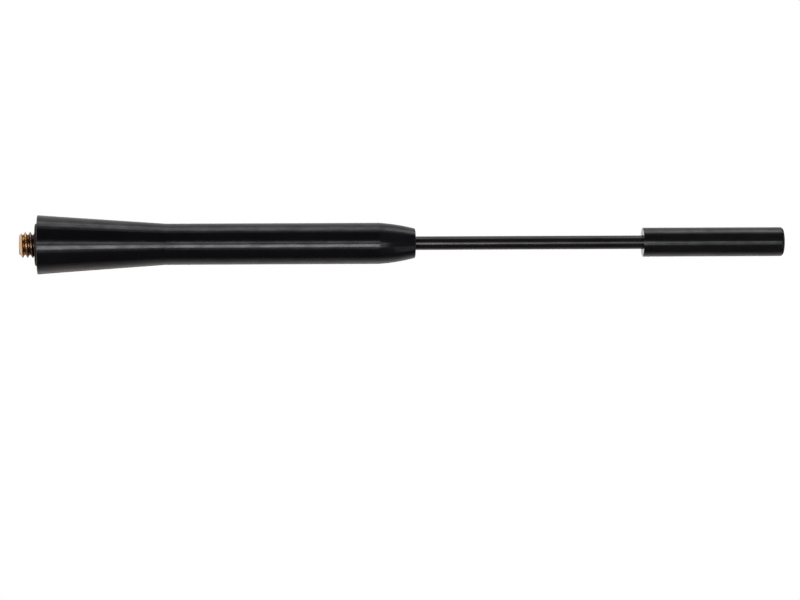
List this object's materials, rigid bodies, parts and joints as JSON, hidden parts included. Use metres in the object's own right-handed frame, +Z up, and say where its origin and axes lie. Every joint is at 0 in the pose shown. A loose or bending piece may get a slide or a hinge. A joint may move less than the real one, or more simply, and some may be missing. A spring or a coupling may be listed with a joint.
{
  "type": "car mast aerial",
  "caption": "Short rigid car mast aerial: a flared turned foot on a threaded stud, a rubber seal ring, a slim rod and a cylindrical tip cap.",
  "frame": {"origin": "centre of the face that seats on the car, which is the lower face of the rubber seal, on the mast's own axis", "axes": "+Z runs up the mast from the stud to the tip cap; the mast is round, so X and Y may be any pair square to it"},
  "size_m": [0.0122, 0.0122, 0.1596],
  "materials": {
    "black_anodised_aluminium": "glossy black anodised, fine turning marks",
    "brass": "bright machined",
    "black_rubber": "matt moulded",
    "black_coated_steel": "glossy black coating"
  },
  "bodies": {
    "root": {"mast_body": "black_anodised_aluminium", "thread_stud": "brass", "base_seal": "black_rubber", "mast_rod": "black_coated_steel", "tip_cap": "black_anodised_aluminium"}
  },
  "joints": []
}
